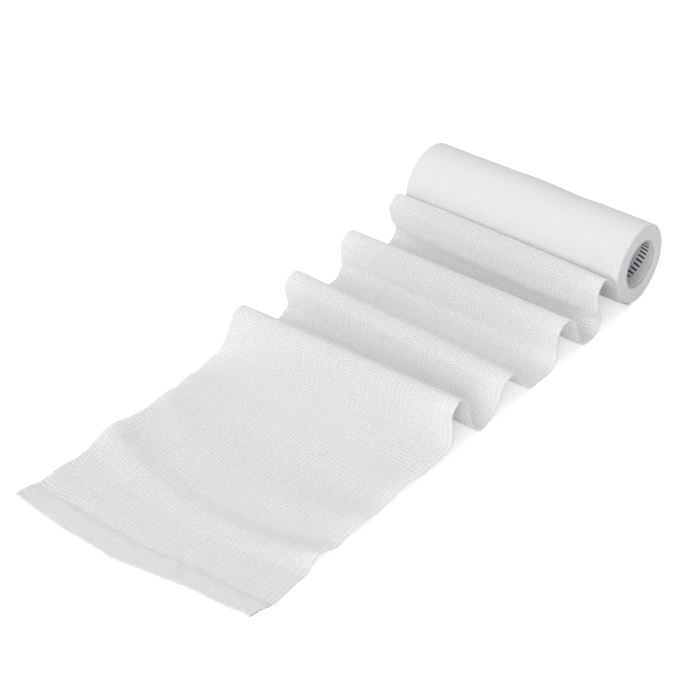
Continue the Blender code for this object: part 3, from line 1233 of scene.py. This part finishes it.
@dataclass
class LooseCloth:
    """The cloth from the roll's underside over four standing folds to the folded tab, as one sheet."""

    form: WoundForm
    effects: SharedEffects
    cloth: float = 0.55 * MM
    hug_gap: float = 0.15 * MM
    hug_degrees: tuple = (19, 27, 35, 47, 58, 68, 78)
    heel_share: float = 0.15
    flank_share: float = 0.5
    nape_share: float = 0.8
    shoulder_share: float = 0.95
    brow_share: float = 0.85
    waist_share: float = 0.2
    front_bow_power: int = 4
    steps_per_knot: int = 16
    columns: int = 64
    rows: int = 640
    turn_rows: int = 8
    back_rows: int = 26
    rim_inset: float = 0.12 * MM
    crowding: float = 1.25
    edge_wave: float = 0.7 * MM
    edge_wave_length: float = 61 * MM
    edge_ripple: float = 0.35 * MM
    edge_ripple_length: float = 23 * MM
    edge_teeth: float = 0.22 * MM
    tab_step: float = 0.9 * MM
    tab_shear: float = 1.0 * MM
    shear_start: float = 300 * MM
    trough_drift: float = 0.9 * MM
    first_trough: float = 48 * MM
    trough_spacing: float = 53 * MM
    last_trough: float = 180 * MM
    corner_lift: float = 1.6 * MM
    corner_share: float = 0.25
    layer_gap: float = 0.05 * MM
    floor_gap: float = 0.06 * MM
    tab_dip: float = 0.26 * MM
    tab_dip_length: float = 5.0 * MM
    end_wave: float = 0.45 * MM
    end_wave_length: float = 9.0 * MM
    tab_tooth_length: float = 5.0 * MM
    crinkle: float = 0.13 * MM
    pucker: float = 0.10 * MM
    crease_size: tuple = (15 * MM, 4.2 * MM)
    soft_size: tuple = (9 * MM, 11 * MM)
    pucker_size: tuple = (5 * MM, 2.1 * MM)
    smooth_tab: float = 15 * MM
    smooth_step: float = 3 * MM
    smooth_start: float = 12 * MM
    tooth_length: float = 1.4 * MM
    long_tooth_length: float = 4.5 * MM
    long_teeth: float = 0.8
    teeth_reach: int = 12

    @property
    def width(self) -> float:
        """The cloth's width."""
        return 2 * self.form.half_width

    @property
    def half_cloth(self) -> float:
        """Half the cloth's thickness."""
        return self.cloth / 2

    def free_end(self, share: float) -> tuple:
        """Distance of the free end and depth of its tab, both a little wavy.

        Args:
            share: share of the width, from the left edge.

        Returns:
            The distance and the depth.
        """
        shares = [row.share for row in FREE_END]
        run = float(np.interp(share, shares, [row.run for row in FREE_END])) * MM
        tab = float(np.interp(share, shares, [row.tab for row in FREE_END])) * MM
        across = share * self.width
        run += self.end_wave * float(Unevenness(8).at(across / self.end_wave_length, 3.0))
        tab += self.end_wave * float(Unevenness(9).at(across / self.tab_tooth_length, 5.0))
        return run, tab

    def hug_knots(self, x: float) -> list:
        """Where the cloth still lies against the roll.

        Args:
            x: place along the core.

        Returns:
            The knots, as (run, height).
        """
        angle = np.radians(self.hug_degrees)
        radius = self.form.radius(np.full(len(angle), x), angle) + self.hug_gap + self.half_cloth
        points = self.form.around(np.full(len(angle), x), radius, angle)
        return [(-y, z) for _, y, z in points]

    def fold_knots(self, index: int, share: float) -> list:
        """Knots of one standing fold, from its foot to its landing.

        Args:
            index: which fold, counted from the roll.
            share: share of the width, from the left edge.

        Returns:
            The knots, as (run, height).
        """
        fold = fold_at(index, share)
        bow = BOWS[index]
        middle = 1 - (2 * share - 1) ** self.front_bow_power
        height = (fold.height + 4 * share * (1 - share) * bow.crest) * MM
        bulge = 0.0 if index else float(self.form.bulge((share - 0.5) * self.width))
        knots = [
            (fold.foot * MM, self.half_cloth),
            (fold.heel * MM, height * self.heel_share),
            (fold.back * MM, height * self.flank_share),
            (fold.nape * MM + bulge, height * self.nape_share),
            (fold.shoulder * MM, height * self.shoulder_share),
            (fold.crest * MM, height - self.half_cloth),
            ((fold.brow + middle * bow.brow) * MM, height * self.brow_share),
            ((fold.fall + middle * bow.fall) * MM, height * self.flank_share),
            ((fold.waist + middle * bow.waist) * MM, height * self.waist_share),
            (fold.landing * MM, self.half_cloth + fold.lift * MM),
        ]
        return knots if index else knots[3:]

    def profile_knots(self, share: float) -> list:
        """Every knot of the cloth's middle surface up to the tab.

        Args:
            share: share of the width, from the left edge.

        Returns:
            The knots, as (run, height).
        """
        knots = self.hug_knots((share - 0.5) * self.width)
        for index in range(len(LEFT_FOLDS)):
            knots += self.fold_knots(index, share)
        for swell in SWELLS:
            run = bent(swell.left_run, swell.middle_run, swell.right_run, share)
            lift = bent(swell.left_lift, swell.middle_lift, swell.right_lift, share)
            knots.append((run * MM, self.half_cloth + lift * MM))
        run, tab = self.free_end(share)
        knots.append((run - tab - self.tab_step, self.half_cloth))
        return knots

    def curve_through(self, knots: list) -> np.ndarray:
        """A smooth curve (centripetal Catmull-Rom) through the knots, kept above the surface.

        Args:
            knots: places as (run, height).

        Returns:
            steps_per_knot points for each stretch between two knots, and the last knot.
        """
        points = np.array(knots)
        points = np.vstack([2 * points[0] - points[1], points, 2 * points[-1] - points[-2]])
        spans = np.sqrt(np.linalg.norm(np.diff(points, axis=0), axis=1))
        t = (np.arange(self.steps_per_knot) / self.steps_per_knot)[:, None]
        curve = []
        for i in range(1, len(points) - 2):
            p0, p1, p2, p3 = points[i - 1 : i + 3]
            d1, d2, d3 = spans[i - 1 : i + 2]
            m1 = (p1 - p0) / d1 - (p2 - p0) / (d1 + d2) + (p2 - p1) / d2
            m2 = (p2 - p1) / d2 - (p3 - p1) / (d2 + d3) + (p3 - p2) / d3
            curve.append(
                (2 * t**3 - 3 * t**2 + 1) * p1
                + (t**3 - 2 * t**2 + t) * m1 * d2
                + (3 * t**2 - 2 * t**3) * p2
                + (t**3 - t**2) * m2 * d2
            )
        curve.append(points[-2][None, :])
        curve = np.vstack(curve)
        curve[:, 1] = np.maximum(curve[:, 1], self.half_cloth)
        return curve

    def tab_path(self, share: float) -> np.ndarray:
        """The tab's two layers: out to the free end, round the fold and back on top to its cut edge.

        Args:
            share: share of the width, from the left edge.

        Returns:
            The points, as (run, height).
        """
        run, tab = self.free_end(share)
        curl = (self.cloth + self.layer_gap) / 2
        inner = run - tab
        turn = run - curl - self.half_cloth
        low = self.half_cloth
        steps = self.steps_per_knot
        out_run = np.linspace(inner - self.tab_step, turn, 2 * steps + 1)[1:]
        out = np.column_stack([out_run, np.full(2 * steps, low)])
        bend = np.linspace(-0.5, 0.5, steps + 1)[1:] * math.pi
        curl_round = np.column_stack([turn + curl * np.cos(bend), low + curl * (1 + np.sin(bend))])
        back_run = np.linspace(turn, inner, 2 * steps + 1)[1:]
        dip = np.clip(1 - (back_run - inner) / self.tab_dip_length, 0, 1) ** 2 * self.tab_dip
        back = np.column_stack([back_run, low + 2 * curl - dip])
        return np.vstack([out, curl_round, back])

    def edge_shift(self, run: np.ndarray, side: float) -> np.ndarray:
        """How far a side edge wanders from its straight line."""
        wave = self.edge_wave * np.sin(FULL_TURN * run / self.edge_wave_length + side)
        return wave + self.edge_ripple * np.sin(FULL_TURN * run / self.edge_ripple_length + 2 * side)

    def sideways(self, run: np.ndarray, inner: float, end: float) -> np.ndarray:
        """How far the cloth drifts to the right, in each trough and before its tab.

        Args:
            run: distances in front of the core's axis.
            inner: where the tab starts.
            end: where the cloth ends.

        Returns:
            The drift at each distance.
        """
        phase = FULL_TURN * (run - self.first_trough) / self.trough_spacing
        drift = self.trough_drift * (1 + np.cos(phase)) / 2
        lead = self.tab_shear * np.clip((run - self.shear_start) / (inner - self.shear_start), 0, 1)
        tail = self.tab_shear * (1 - 2 * (run - inner) / (end - inner))
        return np.where(run <= self.last_trough, drift, np.where(run <= inner, lead, tail))

    def shares(self) -> np.ndarray:
        """Shares of the width at which the cloth's columns stand, closer together near its side edges.

        Returns:
            One share for each column, from 0 to 1.
        """
        even = np.linspace(-1, 1, self.columns - 1)
        spread = np.sin(even * self.crowding) / math.sin(self.crowding)
        rim = 1 - 2 * self.rim_inset / self.width
        return 0.5 + 0.5 * np.concatenate([[-1, -rim], spread[1:-1], [rim, 1]])

    def column_path(self, share: float) -> np.ndarray:
        """One column of the cloth's middle surface, from the roll to the tab's cut edge.

        Args:
            share: its share of the width.

        Returns:
            Its points, as rows of x, y, z.
        """
        path = np.vstack([self.curve_through(self.profile_knots(share)), self.tab_path(share)])
        run, tab = self.free_end(share)
        corner = self.corner_lift * max(0.0, 1 - share / self.corner_share) ** 2
        path[:, 1] += corner * np.clip((path[:, 0] - (run - tab)) / tab, 0, 1)
        pull = 2 * share - 1
        across = (share - 0.5) * self.width + abs(pull) * pull * self.edge_shift(path[:, 0], pull)
        across = across + self.sideways(path[:, 0], run - tab, run)
        return np.column_stack([across, -path[:, 0], path[:, 1]])

    def stations(self, length: np.ndarray) -> np.ndarray:
        """Distances along the cloth at which its rows stand, closer together round the tab's fold.

        Args:
            length: the distance along the cloth at each point of a column's path.

        Returns:
            The distance at each row, with one row close to the cut edge to support it.
        """
        turn, back = (length[-1 - count * self.steps_per_knot] for count in (3, 2))
        return np.concatenate([
            np.linspace(0, turn, self.rows - self.turn_rows - self.back_rows),
            np.linspace(turn, back, self.turn_rows + 1)[1:],
            np.linspace(back, length[-1] - self.rim_inset, self.back_rows + 1)[1:],
            length[-1:],
        ])

    def grid(self) -> tuple:
        """The cloth's middle surface.

        Returns:
            The points of each column, the mean distance along the cloth at each row, and the distance
            along the cloth at which it folds back to make the tab.
        """
        paths = np.array([self.column_path(share) for share in self.shares()])
        steps = np.linalg.norm(np.diff(paths, axis=1), axis=2)
        length = np.concatenate([[0.0], np.cumsum(steps.mean(axis=0))])
        stations = self.stations(length)
        place = np.interp(stations, length, np.arange(len(length)))
        low = np.minimum(place.astype(int), len(length) - 2)
        part = (place - low)[None, :, None]
        fold = float(length[-1 - 2 * self.steps_per_knot - self.steps_per_knot // 2])
        return paths[:, low] * (1 - part) + paths[:, low + 1] * part, stations, fold

    def normals(self, grid: np.ndarray) -> np.ndarray:
        """Unit normals of the middle surface, pointing to the cloth's upper side."""
        normals = np.cross(np.gradient(grid, axis=1), np.gradient(grid, axis=0))
        return normals / np.maximum(np.linalg.norm(normals, axis=2, keepdims=True), 1e-12)

    def crinkled(self, grid: np.ndarray, stations: np.ndarray) -> np.ndarray:
        """Adds the cloth's fine creases and the teeth of its side edges.

        Args:
            grid: the middle surface.
            stations: distance along the cloth at each row.

        Returns:
            The creased middle surface, nowhere below the surface it rests on.
        """
        across = (self.shares()[:, None] - 0.5) * self.width
        along = stations[None, :]
        creases, soft, fine = (
            Unevenness(seed).at(across / wide, along / long)
            for seed, (wide, long) in ((3, self.crease_size), (4, self.soft_size), (5, self.pucker_size))
        )
        lift = self.crinkle * (0.6 * creases + 0.8 * soft) + self.pucker * fine
        before_tab = stations[-1] - stations - self.smooth_tab
        calm = np.clip(before_tab / self.smooth_step, 0.0, 1)[None, :]
        held = np.clip(stations / self.smooth_start, 0, 1)[None, :]
        moved = grid + self.normals(grid) * (lift * calm * held)[:, :, None]
        near_edge = np.abs(2 * self.shares() - 1)[:, None] ** self.teeth_reach
        side = np.sign(across) * 9.0
        teeth = Unevenness(6).at(along / self.tooth_length, side)
        teeth = teeth + self.long_teeth * Unevenness(7).at(along / self.long_tooth_length, side)
        teeth = self.edge_teeth * teeth
        moved[:, :, 0] += teeth * near_edge
        moved[:, :, 2] = np.maximum(moved[:, :, 2], self.half_cloth + self.floor_gap)
        return moved

    def build(self) -> bpy.types.Object:
        """Makes the sheet and dresses it.

        Returns:
            The finished piece.
        """
        grid, stations, fold = self.grid()
        grid = self.crinkled(grid, stations)
        shape = bmesh.new()
        bmesh.ops.create_grid(shape, x_segments=self.columns, y_segments=self.rows, size=0.5)
        piece = place_piece("loose_cloth", shape)
        plain = read_points(piece.data)
        column = np.rint((plain[:, 0] + 0.5) * self.columns).astype(int)
        row = np.rint((plain[:, 1] + 0.5) * self.rows).astype(int)
        write_points(piece.data, grid[column, row])
        index = corner_vertices(piece.data)
        across = (self.shares()[column] - 0.5) * self.width
        write_map(piece.data, across[index], stations[row][index])
        furthest = stations[row][index].reshape(len(piece.data.polygons), -1).max(axis=1)
        piece.data.polygons.foreach_set("material_index", (furthest > fold).astype(np.int32))
        piece.data.flip_normals()
        wall = piece.modifiers.new("cloth_thickness", "SOLIDIFY")
        wall.thickness = self.cloth
        wall.offset = 0.0
        wall.use_even_offset = True
        loose = CrepeFinish("loose_crepe", light=(0.97, 0.97, 0.97), dark=(0.77, 0.77, 0.77), contrast=1.35,
                            relief=0.16 * MM, see_through=0.5)
        tab = CrepeFinish("tab_crepe", light=(1.0, 1.0, 1.0), dark=(0.93, 0.93, 0.93), contrast=2.2,
                          relief=0.20 * MM, weakest=0.8, pucker_pitch=1.5 * MM, sheen=0.3, see_through=0.5)
        piece.data.materials.append(loose.material(self.effects))
        piece.data.materials.append(tab.material(self.effects))
        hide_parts("loose_end")
        return piece


# ---------------------------------------------------------------------------------------------
# The stage
# ---------------------------------------------------------------------------------------------


class Lamp(NamedTuple):
    """One square lamp: its power in watts, its side in metres, and where it hangs, in degrees."""

    name: str
    power: float
    side: float
    azimuth: float
    elevation: float


# The azimuth is counted from -Y towards +X.
#        name              power  side azimuth elevation
LAMPS = (
    Lamp("right_front_lamp", 10.0, 0.8, 30.0, 25.0),
    Lamp("left_front_lamp", 10.7, 0.8, -30.0, 35.0),
    Lamp("back_lamp", 11.2, 1.8, 180.0, 60.0),
    Lamp("top_lamp", 7.4, 1.8, 0.0, 72.0),
)


@dataclass
class Studio:
    """A plain pale floor, soft light from above and from both sides of the front, and the camera."""

    camera_place: Vector = field(default_factory=lambda: Vector((0.512375, -0.808897, 0.615258)))
    camera_target: Vector = field(default_factory=lambda: Vector((-0.0226613, -0.1422425, 0.0014)))
    lens: float = 97.4665
    sensor: float = 36.0
    floor_size: float = 6.0
    floor_colour: tuple = (0.93, 0.93, 0.93)
    floor_glow: float = 0.085
    floor_shine: float = 0.34
    sky: float = 0.335
    lamp_aim: Vector = field(default_factory=lambda: Vector((0.0, -0.12, 0.01)))
    lamp_distance: float = 2.0

    def build_floor(self) -> None:
        """Lays the floor just under the object."""
        shape = bmesh.new()
        bmesh.ops.create_grid(shape, x_segments=4, y_segments=4, size=self.floor_size / 2)
        mesh = bpy.data.meshes.new("floor")
        shape.to_mesh(mesh)
        shape.free()
        floor = bpy.data.objects.new("floor", mesh)
        bpy.context.scene.collection.objects.link(floor)
        material, board, shader = start_material(
            "pale_floor", Base_Color=(*self.floor_colour, 1.0), Roughness=0.9,
            Specular_IOR_Level=0.0, Emission_Color=(1.0, 1.0, 1.0, 1.0))
        seen = board.add("ShaderNodeLightPath").outputs["Is Camera Ray"]
        board.feed(shader["Emission Strength"], board.scaled(seen, self.floor_shine, self.floor_glow))
        mesh.materials.append(material)

    def build_sky(self) -> None:
        """Sets an even pale sky."""
        world = bpy.data.worlds.new("soft_sky")
        world.use_nodes = True
        background = world.node_tree.nodes["Background"].inputs
        background["Strength"].default_value = self.sky
        background["Color"].default_value = (1.0, 1.0, 1.0, 1.0)
        bpy.context.scene.world = world

    def build_lamp(self, lamp: Lamp) -> None:
        """Hangs one soft lamp, facing the object.

        Args:
            lamp: its sizes, power and place.
        """
        light = bpy.data.lights.new(lamp.name, "AREA")
        light.shape = "SQUARE"
        light.size = lamp.side
        light.energy = lamp.power
        azimuth, elevation = math.radians(lamp.azimuth), math.radians(lamp.elevation)
        level = math.cos(elevation)
        away = Vector((math.sin(azimuth) * level, -math.cos(azimuth) * level, math.sin(elevation)))
        hung = bpy.data.objects.new(lamp.name, light)
        hung.location = self.lamp_aim + away * self.lamp_distance
        hung.rotation_euler = (-away).to_track_quat("-Z", "Y").to_euler()
        bpy.context.scene.collection.objects.link(hung)

    def build_camera(self) -> None:
        """Points the camera, level from side to side."""
        data = bpy.data.cameras.new("camera")
        data.lens = self.lens
        data.sensor_width = self.sensor
        camera = bpy.data.objects.new("camera", data)
        forward = (self.camera_target - self.camera_place).normalized()
        right = forward.cross(Vector((0.0, 0.0, 1.0))).normalized()
        up = right.cross(forward)
        turned = Matrix((right, up, -forward)).transposed().to_4x4()
        camera.matrix_world = Matrix.Translation(self.camera_place) @ turned
        bpy.context.scene.collection.objects.link(camera)
        bpy.context.scene.camera = camera

    def build(self) -> None:
        """Makes the whole stage."""
        bpy.context.scene.view_settings.view_transform = "Standard"
        self.build_floor()
        self.build_sky()
        for lamp in LAMPS:
            self.build_lamp(lamp)
        self.build_camera()


def main() -> None:
    """Builds every piece in order."""
    logging.basicConfig(level=logging.INFO, format="%(message)s")
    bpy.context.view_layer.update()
    Studio().build()
    effects = SharedEffects()
    core_low, core_high = (Vector(corner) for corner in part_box("core_tube"))
    roll_low, roll_high = (Vector(corner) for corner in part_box("wound_roll"))
    axis_height = (core_low.z + core_high.z) / 2
    outside = (core_high.z - core_low.z) / 2
    form = WoundForm(half_width=(roll_high.x - roll_low.x) / 2, axis_height=axis_height)
    pieces = (
        RollCloth(form, outside + CORE_GAP, effects),
        PaperCore(axis_height, form.half_width, outside, effects),
        LooseCloth(form, effects),
    )
    for part in pieces:
        piece = part.build()
        LOG.info("%s: %d faces", piece.name, len(piece.data.polygons))


if __name__ == "__main__":
    main()
